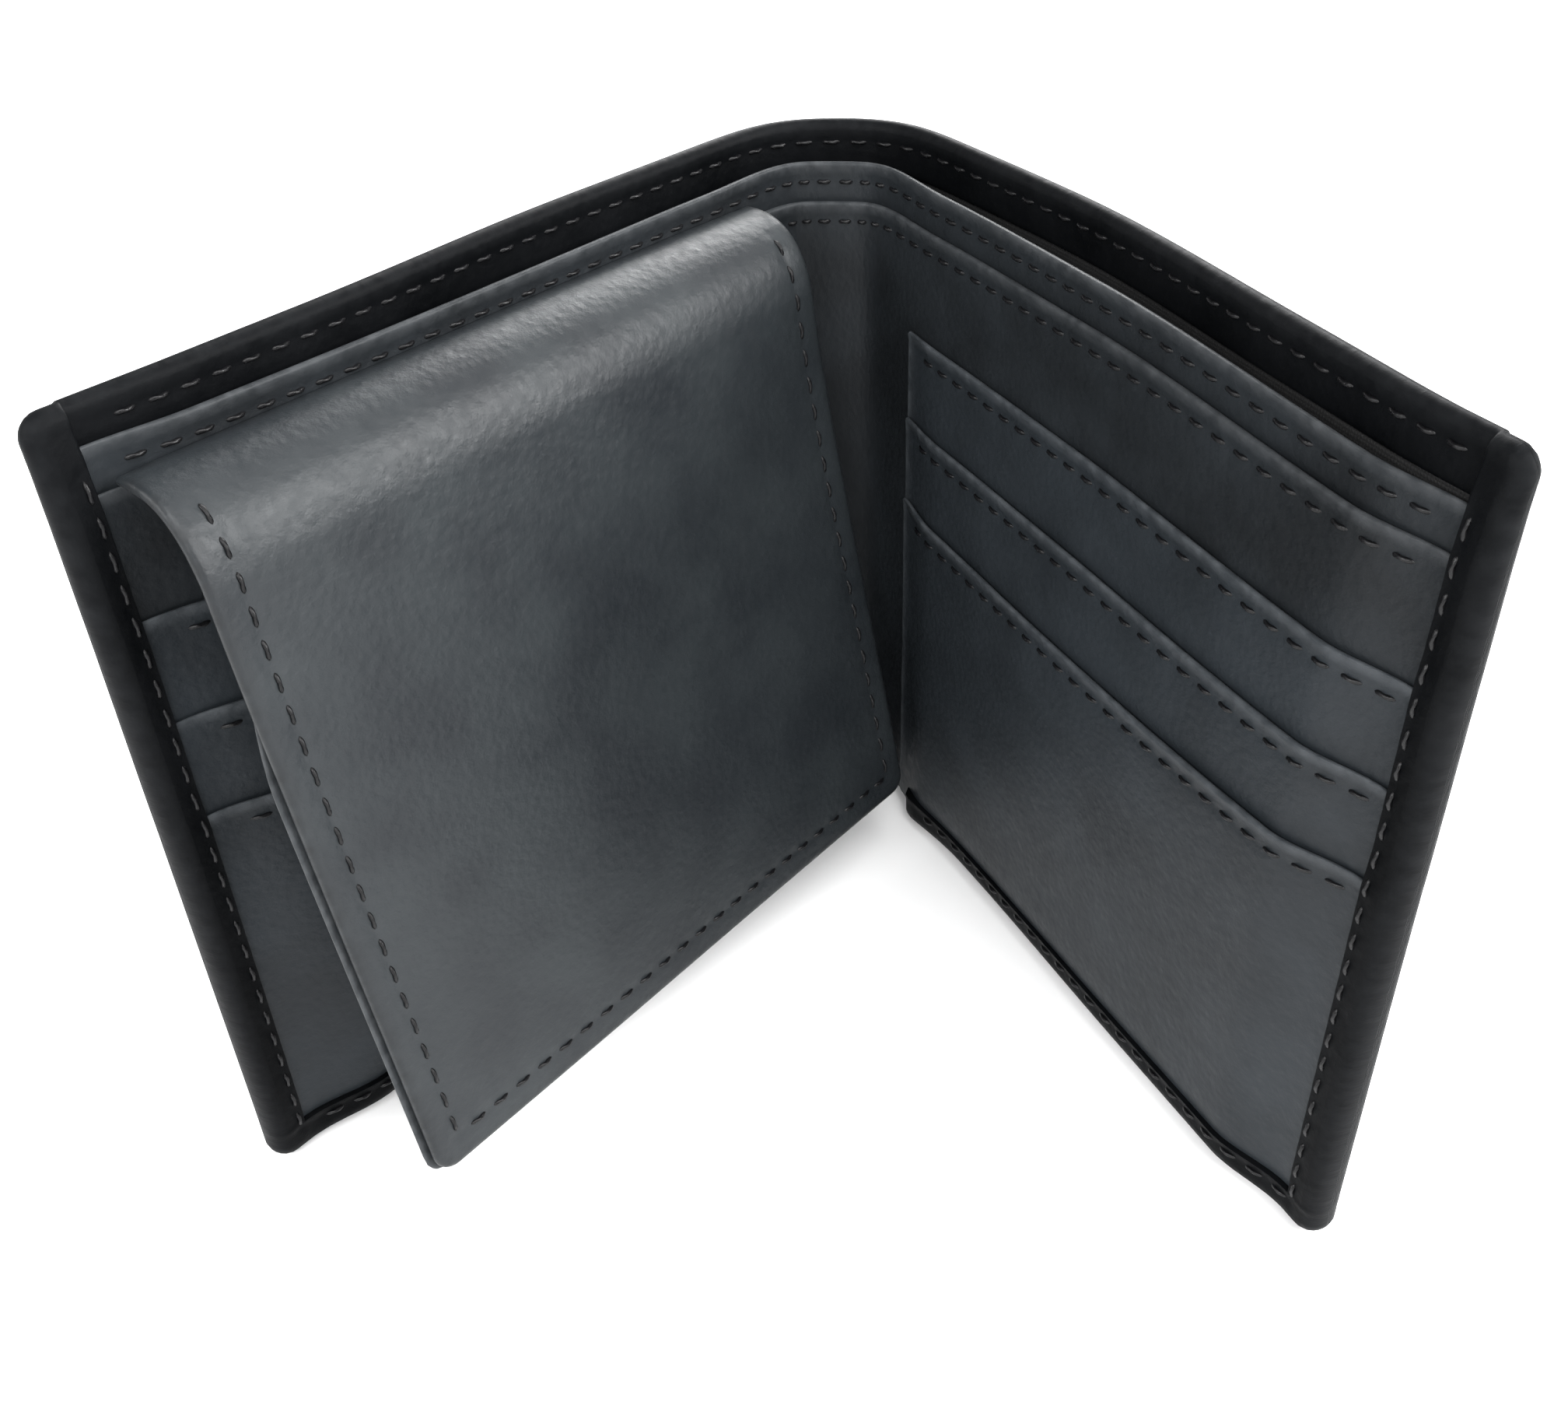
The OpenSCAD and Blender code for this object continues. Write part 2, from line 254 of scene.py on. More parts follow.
def leather(name, dark, light, worn, gloss, rough=(0.38, 0.5), pebble=0.9, relief=0.05):
    """Grained leather: pebbles and fine pores in the surface, cloudy colour, and rims of another colour:
    paler wear on most leathers, and on the wing a darker rim that is edge paint and in part painted shade.
    """
    material, tree, shader = nodes_of(name)
    spot = flat_place(tree)
    cloud = add(tree, "ShaderNodeTexNoise", [("Vector", spot)], Scale=0.07, Detail=3.0)
    patch = add(tree, "ShaderNodeTexNoise", [("Vector", spot)], Scale=0.6, Detail=4.0)
    grain = add(tree, "ShaderNodeTexVoronoi", [("Vector", spot)], Scale=1 / pebble, feature="SMOOTH_F1")
    pores = add(tree, "ShaderNodeTexNoise", [("Vector", spot)], Scale=3.2, Detail=5.0, Roughness=0.6)
    rim = add(tree, "ShaderNodeAttribute", attribute_name="rim")
    base = mix(tree, ramp(tree, cloud.outputs["Fac"], 0.35, 0.65, 0, 1), dark, light)
    # Share of the rim colour: real wear where it is paler, and on the wing a darker rim that is in part
    # painted shade.
    rim_wear_and_shade = add(tree, "ShaderNodeMath", operation="MULTIPLY")
    tree.links.new(rim.outputs["Fac"], rim_wear_and_shade.inputs[0])
    tree.links.new(ramp(tree, patch.outputs["Fac"], 0.35, 0.7, 0.35, 1.0), rim_wear_and_shade.inputs[1])
    tree.links.new(mix(tree, rim_wear_and_shade.outputs[0], base, worn), shader.inputs["Base Color"])
    tree.links.new(ramp(tree, patch.outputs["Fac"], 0.3, 0.7, *rough), shader.inputs["Roughness"])
    small = add(
        tree, "ShaderNodeBump", [("Height", pores.outputs["Fac"])], Strength=0.7, Distance=relief * MM,
    )
    large = add(
        tree, "ShaderNodeBump", [("Height", grain.outputs["Distance"]), ("Normal", small.outputs["Normal"])],
        Strength=0.8, Distance=relief * 1.5 * MM, invert=True,
    )
    tree.links.new(large.outputs["Normal"], shader.inputs["Normal"])
    shader.inputs["Specular IOR Level"].default_value = gloss
    return material


def woven(name, dark, light, pitch):
    """A plain weave for the lining."""
    material, tree, shader = nodes_of(name)
    spot = flat_place(tree)
    ways = [
        add(
            tree, "ShaderNodeTexWave", [("Vector", spot)], Scale=0.31 / pitch, Distortion=0.6,
            bands_direction=way, wave_profile="SIN",
        ).outputs["Fac"]
        for way in ("X", "Y")
    ]
    cross = add(tree, "ShaderNodeMath", operation="MULTIPLY")
    tree.links.new(ways[0], cross.inputs[0])
    tree.links.new(ways[1], cross.inputs[1])
    cloud = add(tree, "ShaderNodeTexNoise", [("Vector", spot)], Scale=0.2, Detail=3.0)
    tree.links.new(mix(tree, cloud.outputs["Fac"], dark, light), shader.inputs["Base Color"])
    tree.links.new(ramp(tree, cross.outputs[0], 0, 1, 0.75, 0.95), shader.inputs["Roughness"])
    bump = add(tree, "ShaderNodeBump", [("Height", cross.outputs[0])], Strength=0.8, Distance=0.08 * MM)
    tree.links.new(bump.outputs["Normal"], shader.inputs["Normal"])
    return material


def fibrous(name, dark, light, rough, scale, relief, gloss=0.4):
    """Thread or board: fine fibres with a little change of colour."""
    material, tree, shader = nodes_of(name)
    spot = flat_place(tree)
    fibre = add(tree, "ShaderNodeTexNoise", [("Vector", spot)], Scale=scale, Detail=4.0)
    tree.links.new(mix(tree, fibre.outputs["Fac"], dark, light), shader.inputs["Base Color"])
    tree.links.new(ramp(tree, fibre.outputs["Fac"], 0.3, 0.7, *rough), shader.inputs["Roughness"])
    bump = add(tree, "ShaderNodeBump", [("Height", fibre.outputs["Fac"])], Strength=0.7, Distance=relief * MM)
    tree.links.new(bump.outputs["Normal"], shader.inputs["Normal"])
    shader.inputs["Specular IOR Level"].default_value = gloss
    return material


def vinyl(name):
    """Clear film, faintly cloudy and wavy."""
    material, tree, shader = nodes_of(name)
    spot = flat_place(tree)
    haze = add(tree, "ShaderNodeTexNoise", [("Vector", spot)], Scale=0.12, Detail=3.0)
    tree.links.new(ramp(tree, haze.outputs["Fac"], 0.3, 0.7, 0.22, 0.38), shader.inputs["Roughness"])
    tint = mix(tree, haze.outputs["Fac"], (0.30, 0.32, 0.33), (0.42, 0.44, 0.45))
    tree.links.new(tint, shader.inputs["Base Color"])
    bump = add(tree, "ShaderNodeBump", [("Height", haze.outputs["Fac"])], Strength=0.15, Distance=0.1 * MM)
    tree.links.new(bump.outputs["Normal"], shader.inputs["Normal"])
    shader.inputs["Alpha"].default_value = 0.25
    shader.inputs["Specular IOR Level"].default_value = 0.2
    return material


LOOKS = {
    # The cover's leather is much darker and more matte than the other leathers: in part a blacker leather, in
    # part painted shade for its dark turned edges and bands.
    "cover_leather": leather(
        "cover_leather", dark=(0.0012, 0.0014, 0.0017), light=(0.0030, 0.0033, 0.0038),
        worn=(0.008, 0.0086, 0.0094), gloss=0.03, rough=(0.42, 0.56),
    ),
    "inner_leather": leather(
        "inner_leather", dark=(0.007, 0.008, 0.009), light=(0.012, 0.014, 0.016),
        worn=(0.042, 0.045, 0.048), gloss=0.11,
    ),
    "pocket_leather": leather(
        "pocket_leather", dark=(0.010, 0.012, 0.014), light=(0.015, 0.018, 0.021),
        worn=(0.050, 0.055, 0.060), gloss=0.13,
    ),
    # The wing's rim colour is darker than its face: edge paint, and in part painted shade for its dark rims.
    "wing_leather": leather(
        "wing_leather", dark=(0.010, 0.012, 0.014), light=(0.016, 0.019, 0.021),
        worn=(0.006, 0.007, 0.008), gloss=0.25,
    ),
    "lining": woven("lining", (0.002, 0.002, 0.0022), (0.004, 0.004, 0.0045), 0.4),
    "thread": fibrous("thread", (0.002, 0.002, 0.0025), (0.006, 0.006, 0.0065), (0.25, 0.4), 3.0, 0.06, 0.2),
    "board": fibrous("board", (0.10, 0.095, 0.085), (0.17, 0.16, 0.15), (0.8, 0.95), 1.2, 0.1),
    "clear_vinyl": vinyl("clear_vinyl"),
}


# ---------------------------------------------------------------- making sheets
# Distance that stands for an end without a rim
NO_RIM = 1e3


def spread(low, high, step, close=()):
    """Grid lines from low to high: the close ones, and even ones where there are none."""
    kept = [low]
    for line in sorted(c for c in close if low < c < high):
        if line - kept[-1] > 0.02 and high - line > 0.02:
            kept.append(line)
    kept = np.array([*kept, high])
    even = np.arange(low, high, step)
    apart = np.abs(even[:, None] - kept[None, :]).min(1)
    return np.sort(np.concatenate([kept, even[apart > 0.45 * step]]))


def rim_lines(at, radius, way):
    shares = (0.05, 0.2, 0.5, 1.0, 1.6) if radius > 0.5 else (0.2, 0.5, 1.0, 1.6)
    return [at + way * radius * share for share in shares]


def row_lines(at):
    return [at + gap for gap in (-1.5, -0.9, -0.4, 0, 0.4, 0.9, 1.5)]


def cut_lines(at, way):
    return [at + way * gap for gap in (0.05, 0.2, 0.6)]


def step_lines(at, way):
    return [at + way * gap for gap in (-0.1, 0, 0.02, 0.08, 0.18, 0.35, 0.7)]


def rounded(q, z, ends, rims, radius):
    """Grid points with the corners between two rims rounded, and each point's distance from the rims."""
    q_low, q_high, z_low, z_high = ends
    from_ends = (q - q_low, q_high - q, z - z_low, z_high - z)
    gaps = [gap if rim else np.full_like(q, NO_RIM) for gap, rim in zip(from_ends, rims)]
    away = np.minimum.reduce(gaps)
    new_q, new_z = q.copy(), z.copy()
    for side, q_edge, q_way in ((0, q_low, 1), (1, q_high, -1)):
        for end, z_edge, z_way in ((2, z_low, 1), (3, z_high, -1)):
            near = (gaps[side] < radius) & (gaps[end] < radius)
            if radius <= 0 or not near.any():
                continue
            a = 1 - gaps[side][near] / radius
            b = 1 - gaps[end][near] / radius
            x = a * np.sqrt(1 - b * b / 2)
            y = b * np.sqrt(1 - a * a / 2)
            new_q[near] = q_edge + q_way * radius * (1 - x)
            new_z[near] = z_edge + z_way * radius * (1 - y)
            away[near] = radius * (1 - np.hypot(x, y))
    return new_q, new_z, np.maximum(away, 0)


def add_mesh(name, points, faces, look, flat, rim):
    mesh = bpy.data.meshes.new(name)
    mesh.from_pydata((points * MM).tolist(), [], faces)
    flat_places = mesh.attributes.new("flat", "FLOAT_VECTOR", "POINT")
    flat_places.data.foreach_set("vector", flat.astype(np.float32).ravel())
    rim_shares = mesh.attributes.new("rim", "FLOAT", "POINT")
    rim_shares.data.foreach_set("value", rim.astype(np.float32))
    mesh.materials.append(LOOKS[look])
    mesh.shade_smooth()
    mesh.set_sharp_from_angle(angle=math.radians(60))
    mesh.validate()
    piece = bpy.data.objects.new(name, mesh)
    scene.collection.objects.link(piece)
    return piece


def make_sheet(name, look, qs, zs, front, back, rims=(1, 1, 1, 1), radius=0.0, shape=place, sag=None,
               hole=None, worn=1.5, held="folded"):
    """A closed sheet between two faces, with round rims and corners, and a straight cut elsewhere."""
    q, z = np.meshgrid(qs, zs, indexing="ij")
    q, z, away = rounded(q, z, (qs[0], qs[-1], zs[0], zs[-1]), rims, radius)
    keep_cell = np.ones((len(qs) - 1, len(zs) - 1), bool)
    if hole:
        mid_q = (qs[:-1] + qs[1:]) / 2
        mid_z = (zs[:-1] + zs[1:]) / 2
        in_q = (mid_q > hole[0]) & (mid_q < hole[1])
        in_z = (mid_z > hole[2]) & (mid_z < hole[3])
        keep_cell = ~(in_q[:, None] & in_z[None])
        out_q = np.maximum(np.maximum(hole[0] - q, q - hole[1]), 0)
        out_z = np.maximum(np.maximum(hole[2] - z, z - hole[3]), 0)
        away = np.minimum(away, np.hypot(out_q, out_z))
    low, high = back(q, z), front(q, z)
    middle, half = (low + high) / 2, (high - low) / 2
    swell = np.sqrt(np.clip(1 - (1 - np.clip(away / np.clip(half, 0.05, RIM_R), 0, 1)) ** 2, 0, 1))
    real_z = z if sag is None else z - sag(q, z)
    faces_at = [shape(q, middle + half * swell, real_z), shape(q, middle - half * swell, real_z)]
    count = q.size
    index = np.arange(count).reshape(q.shape)
    other = np.where(away < 1e-6, index, index + count)
    faces = []
    cells = np.argwhere(keep_cell)
    i, j = cells[:, 0], cells[:, 1]
    faces += np.stack([index[i, j], index[i, j + 1], index[i + 1, j + 1], index[i + 1, j]], 1).tolist()
    faces += np.stack([other[i, j], other[i + 1, j], other[i + 1, j + 1], other[i, j + 1]], 1).tolist()

    def cap(a, b):
        for k in range(len(a) - 1):
            ring = [int(a[k]), int(b[k]), int(b[k + 1]), int(a[k + 1])]
            ring = [p for n, p in enumerate(ring) if p not in ring[:n]]
            if len(ring) > 2:
                faces.append(ring)

    if not rims[0]:
        cap(index[0], other[0])
    if not rims[1]:
        cap(other[-1], index[-1])
    if not rims[2]:
        cap(other[:, 0], index[:, 0])
    if not rims[3]:
        cap(index[:, -1], other[:, -1])
    used = np.unique([p for ring in faces for p in ring])
    renumber = np.zeros(2 * count, int)
    renumber[used] = np.arange(len(used))
    faces = [[int(renumber[p]) for p in ring] for ring in faces]
    points = np.concatenate([at.reshape(-1, 3) for at in faces_at])[used]
    flat = np.concatenate([np.stack([q, z, v], -1).reshape(-1, 3) for v in (high, low - 3)])[used]
    rim = np.concatenate([np.clip(1 - away / worn, 0, 1).ravel()] * 2)[used]
    piece = add_mesh(name, points, faces, look, flat, rim)
    return piece


def groove(q, z, rows):
    """Depth of the furrow that the rows of stitches pull into the leather, deepest at their holes."""
    depth = np.zeros_like(q)
    for row in rows:
        along, across = (q, z) if row["way"] == "level" else (z, q)
        begun = smooth(row["from"] - 1.5, row["from"], along)
        inside = begun * (1 - smooth(row["to"], row["to"] + 1.5, along))
        holes = 0.6 + 0.4 * np.cos(2 * math.pi * (along - row["from"]) / STITCH)
        depth = np.maximum(depth, 0.16 * np.exp(-(((across - row["at"]) / 0.7) ** 2)) * holes * inside)
    return depth


def row_of(way, at, low, high):
    """A row of whole stitches between low and high."""
    return {"way": way, "at": at, "from": low, "to": low + STITCH * int((high - low) / STITCH)}


def level(at, low, high):
    return row_of("level", at, low, high)


def upright(at, low, high):
    return row_of("upright", at, low, high)


# ---------------------------------------------------------------- how the layers lie
def press(q, z):
    """Share of its depth that a layer keeps where the edges are sewn down."""
    a = np.abs(q)
    side = 1 - (1 - SIDE_PRESS) * smooth(PANEL_END - 15, PANEL_END - 4.4, a)
    foot = 1 - FOOT_PRESS * smooth(20, 36, a) * (1 - smooth(0, 9, z))
    return side * foot


def stand(q):
    """How far the inner leaves stand off: most at the fold, and along the panel where only the cover bows."""
    along = bow(np.abs(q) - STRIP) * smooth(4, 24, np.abs(q))
    right = RIGHT_STAND * np.exp(-(((q + 22) / 15) ** 2)) * smooth(-18, 24, -q)
    return FOLD_STAND * np.exp(-((q / FOLD_SPREAD) ** 2)) + along + right


def drop(q, top):
    """How far a leaf's top edge comes down towards the right panel's outer end."""
    return RIGHT_DROP * smooth(55, 104, -q) * smooth(35, 75, np.asarray(top, float))


def gape(q, z):
    """How far the cover stands away from the leaves along its top."""
    reach = np.where(q > 0, COVER_GAPE[1], COVER_GAPE[-1])
    arch = np.sin(math.pi * np.clip((np.abs(q) - 6) / 94, 0, 1)) ** 1.2
    return reach * arch * np.clip(z / PANEL_TOP, 0, 1) ** 1.2


def puff(q, z):
    """The soft bulge of the leaves between their seams."""
    a = np.clip((np.abs(q) - POCKET_START) / (LEAF_END - POCKET_START), 0, 1)
    return np.sin(math.pi * a) * np.sin(math.pi * np.clip(z / 90, 0, 1)) ** 0.7


def ripple(q, z, seed):
    """Slight unevenness of a leaf's face."""
    return 0.07 * (np.sin(q / 7.3 + seed) * np.sin(z / 9.1 + 2 * seed) + np.sin(q / 13.7 - seed + z / 21.0))


def leaf_depth(depth, bulge, seed):
    """Depth of a leaf's face. The card pockets are pressed onto the body where they begin."""
    above_body = max(depth - BODY[1][1], 0)

    def at(q, z):
        begin = 0.65 * above_body * (1 - smooth(POCKET_START, POCKET_START + 9, np.abs(q)))
        return press(q, z) * (depth - begin + stand(q) + bulge * puff(q, z) + 0.6 * ripple(q, z, seed))
    return at


def edge_face(q, z):
    """Depth of the turned edge's face: it lies on all of the layers that are there."""
    stack = np.interp(z, *zip(*STACK))
    swell = POCKET_PUFF[2] * puff(q, z) * smooth(-1, 1, 70 - z) + 0.6 * ripple(q, z, BODY_SEED)
    full = press(q, z) * (stack + stand(q) + swell) + HEM_T
    return HEM_T + (full - HEM_T) * smooth(17, 24, np.abs(q))


def rise(x):
    """A rounded step of height 1 that starts at x = 0."""
    return np.sqrt(np.clip(1 - (1 - np.clip(x / 0.35, 0, 1)) ** 2, 0, 1))


PERIMETER = [level(HEM_ROW, -PANEL_END + 6, PANEL_END - 6)]
for way in (-1, 1):
    ends = sorted([way * (POCKET_START + 6), way * (SIDE_ROW - 0.3)])
    PERIMETER.append(level(BAND_ROW, *ends))
    PERIMETER.append(upright(way * SIDE_ROW, BAND_ROW + 0.6, HEM_ROW - 1))


def cover_front(q, z):
    side = rise(SIDE_W - (PANEL_END - np.abs(q)))
    foot = rise(BAND_Z - z)
    top = rise(z - HEM_Z)
    band = COVER_FRONT + np.maximum(side, foot) * (edge_face(q, z) - COVER_FRONT)
    hem = COVER_FRONT + top * (HEM_T * press(q, z) ** 2 - COVER_FRONT)
    ridge = 0.12 * np.exp(-(((z - BAND_Z + 0.5) / 0.4) ** 2)) * (z < BAND_Z)
    return np.maximum(band, hem) + ridge - groove(q, z, PERIMETER) - gape(q, z)


def cover_back(q, z):
    return COVER_BACK + 0.5 * ripple(q, z, 0.3) + 0.05 + 0.8 * groove(q, z, PERIMETER) - gape(q, z)


def side_blend(piece, side, low_v, high_v, start_q=SNUG_Q):
    """Bakes a sheet's side part into its mesh. Where its turn to the spine strip starts and how far it
    reaches are worked out but not used.
    """
    start = place(side * start_q, 0, 0)
    aim = place(side * CUT, 0, 0) - start
    aim /= np.linalg.norm(aim)
    reach = 0.97 * min((place(side * CUT, v, 0) - start) @ aim for v in (low_v, high_v))
    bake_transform(piece)


def middle_blend(piece, low_v, high_v):
    """Bakes a sheet's middle part into its mesh. How far its turn from the left spine strip to the right one
    reaches is worked out but not used.
    """
    reach = 0.95 * min(abs(place(CUT, v, 0)[0]) for v in (low_v, high_v))
    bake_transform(piece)


def across_fold(name, look, q_lines, zs, front, back, depths, nodes, radius=0.0, sag=None,
                worn=1.5, right_start=SNUG_Q):
    """One sheet that crosses the fold, as a left, a middle and a right part that meet on the spine strips."""
    end = q_lines[-1]
    middle = spread(-CUT, CUT, FINE, cut_lines(-CUT, 1) + cut_lines(CUT, -1))
    left = spread(CUT, end, FINE, [*cut_lines(CUT, 1), *q_lines])
    common = {"radius": radius, "sag": sag, "worn": worn}
    piece = make_sheet(f"{name}_left_side", look, left, zs, front, back, (0, 1, 1, 1), **common)
    side_blend(piece, 1, *depths)
    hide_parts(*[f"{node}_left" for node in nodes])
    piece = make_sheet(f"{name}_fold", look, middle, zs, front, back, (0, 0, 1, 1), **common)
    middle_blend(piece, *depths)
    fold_nodes = [node for node in nodes if node != "edge"]
    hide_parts(*[f"{node}_spine_{side}" for node in fold_nodes for side in ("left", "right")])
    piece = make_sheet(f"{name}_right_side", look, -left[::-1], zs, front, back, (1, 0, 1, 1), **common)
    side_blend(piece, -1, *depths, start_q=right_start)
    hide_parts(*[f"{node}_right" for node in nodes])


# Cover, with its edges turned in all round
cover_q = [
    *rim_lines(PANEL_END, 1.8, -1), *step_lines(PANEL_END - SIDE_W, 1), *row_lines(SIDE_ROW), PANEL_END,
]
cover_z = spread(0, PANEL_TOP, FINE, [
    *rim_lines(0, 2.3, 1), *rim_lines(PANEL_TOP, 1.15, -1), *step_lines(BAND_Z, -1), *step_lines(HEM_Z, 1),
    *row_lines(BAND_ROW), *row_lines(HEM_ROW),
])
across_fold("cover", "cover_leather", cover_q, cover_z, cover_front, cover_back, (COVER_BACK, HEM_T),
            ("cover", "hem", "edge"), radius=CORNER_R, worn=2.0)

# Lining
lining_z = spread(1.6, PANEL_TOP - 1.6, 2 * FINE, [])
across_fold(
    "lining", "lining", [PANEL_END - 3], lining_z,
    lambda q, z: LINING[1][1] * press(q, z) - gape(q, z),
    lambda q, z: LINING[0][1] - gape(q, z),
    (LINING[0][1], LINING[1][1]), ("lining",),
)

# Divider and inner body: the two leaves that run on across the fold
LEAF_FOOT = 0.8
LEAF_DEPTHS = (BODY[0][1] + FOLD_STAND, BODY[1][1] + FOLD_STAND)
ROWS = {}
for name, at, seed in (("divider", DIVIDER, DIVIDER_SEED), ("body", BODY, BODY_SEED)):
    top = at[1][2]
    row = level(top - ROW_DROP, -(PANEL_END - SIDE_W - 2.5), PANEL_END - SIDE_W - 1.0)
    back_at = leaf_depth(at[0][1], 0.0, seed)
    face_at = leaf_depth(at[1][1], 0.0, seed)

    def front(q, z, face_at=face_at, row=row, top=top):
        bead = 0.16 * np.exp(-(((top - z) / 1.0) ** 2))
        return face_at(q, z) + (bead - groove(q, z, [row])) * np.minimum(press(q, z), 1)

    def sag(q, z, top=top):
        a = np.clip((np.abs(q) - 12) / (LEAF_END - 12), 0, 1)
        lift = (0.8 - 2.0) * smooth(16, 24, np.abs(q)) * (1 - z / top)
        return (0.3 * np.sin(math.pi * a) + drop(q, top)) * (z / top) ** 2 + lift

    zs = spread(LEAF_FOOT, top, 1.5 * FINE, [
        *rim_lines(LEAF_FOOT, 0.35, 1), *rim_lines(top, 0.45, -1), *row_lines(row["at"]),
    ])
    across_fold(
        name, "inner_leather", [*rim_lines(LEAF_END, 0.3, -1), LEAF_END], zs, front, back_at,
        (at[0][1] + FOLD_STAND, at[1][1] + FOLD_STAND), (name,), sag=sag, right_start=LOOSE_Q,
    )
    ROWS[name] = (row, front, sag)

# Card pockets, one in front of another
for side, side_name in ((1, "left"), (-1, "right")):
    for number, kind in enumerate(("top", "middle", "bottom")):
        low_at, high_at = POCKETS[number]
        top = high_at[2]
        base = max(low_at[2], 2.0)
        ends = sorted([side * (POCKET_START + 1.2), side * (PANEL_END - SIDE_W - 1.0)])
        row = level(top - ROW_DROP, *ends)
        back_at = leaf_depth(low_at[1], POCKET_PUFF[number], BODY_SEED)
        face_at = leaf_depth(high_at[1], POCKET_PUFF[number], BODY_SEED)

        def front(q, z, face_at=face_at, row=row, top=top):
            bead = 0.22 * np.exp(-(((top - z) / 1.0) ** 2))
            bead = bead + 0.12 * np.exp(-(((np.abs(q) - POCKET_START) / 1.0) ** 2))
            return face_at(q, z) + (bead - groove(q, z, [row])) * np.minimum(press(q, z), 1)

        def sag(q, z, top=top, base=base, number=number):
            a = np.clip((np.abs(q) - POCKET_START) / (LEAF_END - POCKET_START), 0, 1)
            down = POCKET_SAG[number] * np.sin(math.pi * a) + drop(q, top)
            return down * ((z - base) / (top - base)) ** 2

        qs = spread(POCKET_START, LEAF_END, FINE, [
            *rim_lines(POCKET_START, 0.35, 1), *rim_lines(LEAF_END, 0.25, -1),
        ])
        zs = spread(base, top, FINE, [
            *rim_lines(base, 0.25, 1), *rim_lines(top, 0.4, -1), *row_lines(row["at"]),
        ])
        if side < 0:
            qs = -qs[::-1]
        piece = make_sheet(f"pocket_{kind}_{side_name}_leaf", "pocket_leather", qs, zs, front, back_at,
                           radius=0.8, sag=sag)
        if side > 0:
            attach(piece, "left_panel")
        else:
            side_blend(piece, side, *LEAF_DEPTHS, start_q=LOOSE_Q)
        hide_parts(f"pocket_{kind}_{side_name}")
        ROWS[f"pocket_{kind}_{side_name}"] = (row, front, sag)


# ---------------------------------------------------------------- the wing
def profile(points):
    """A smooth line through two Bezier spans, as distance, place and outward normal."""
    line = np.concatenate([bezier(*points[:4]), bezier(*points[3:])[1:]])
    s = measured(line)
    slope = np.gradient(line, s, axis=0)
    slope /= np.linalg.norm(slope, axis=1)[:, None]
    return s, line, np.stack([-slope[:, 1], slope[:, 0]], 1)


SHOULDER_V = 12.4
SHOULDER_Z = 80.2
FOOT_V = 26.7
FOOT_Z = 11.3
WING_HANDLE = 22.0
FACE = profile([np.array(p) for p in (
    (2.0, 88.3), (8.5, 89.1), (11.1, 85.05), (SHOULDER_V, SHOULDER_Z),
    (SHOULDER_V + 0.15 * WING_HANDLE, SHOULDER_Z - 0.98 * WING_HANDLE),
    (FOOT_V - 0.2 * WING_HANDLE, FOOT_Z + 0.98 * WING_HANDLE), (FOOT_V, FOOT_Z),
)])
WING_LOW_Q = STRIP + WING[0][0]
WING_HIGH_Q = STRIP + WING[1][0]
WING_END = FACE[0][-1]
# The shoulder ends where the wing's face is this deep. SPLIT is how far down the wing that is
SPLIT_V = 11.2
SPLIT = float(np.interp(SPLIT_V, FACE[1][:300, 0], FACE[0][:300]))


def straight(q, v, z):
    """A point beside the left panel, without the panel's bend."""
    flat = CREASE + (q - STRIP)[..., None] * ALONG + v[..., None] * INWARD
    return np.concatenate([flat, z[..., None]], -1)


def on_profile(line, settle):
    """Shape of a sheet that hangs along a profile: z is minus the distance down it."""
    distance, at, normal = line

    def shape(q, off, z):
        s = -z
        v = np.interp(s, distance, at[:, 0]) + off * np.interp(s, distance, normal[:, 0])
        up = np.interp(s, distance, at[:, 1]) + off * np.interp(s, distance, normal[:, 1])
        share = smooth(0, 25, s)[..., None] if settle else np.zeros_like(s)[..., None]
        return (1 - share) * place(q, v + stand(q), up) + share * straight(q, v, up)
    return shape


wing_shape = on_profile(FACE, True)
FRAME_T = 0.5
WINDOW_T = 0.2
BOARD_T = 0.4
WING_T = 1.8
WING_SEAM = 3.4
FRAME_BORDER = 8.0
WING_ROWS = [
    upright(WING_LOW_Q + WING_SEAM, -WING_END + WING_SEAM, -6.0),
    upright(WING_HIGH_Q - WING_SEAM, -WING_END + WING_SEAM, -6.0),
    level(-WING_END + WING_SEAM, WING_LOW_Q + WING_SEAM, WING_HIGH_Q - WING_SEAM),
]


def wing_front(q, z):
    """The front leather's face: slightly uneven, and drawn in along its stitches."""
    wave = 0.10 * np.sin(q / 11.0 + 0.4) * np.sin(z / 15.0)
    wave = wave + 0.06 * np.sin(q / 5.1) * np.sin(z / 6.3 + 1.0)
    return wave * smooth(2, 12, -z) - groove(q, z, WING_ROWS)


def wing_lip(q, z):
    """The front leather is turned round the board, so that it is thicker along its edges."""
    away = np.minimum(np.minimum(q - WING_LOW_Q, WING_HIGH_Q - q), z + WING_END)
    return -0.7 - 0.6 * (1 - smooth(2.2, 3.2, away))


def wing_blend(piece):
    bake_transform(piece)


def shoulder_blend(piece):
    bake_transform(piece)


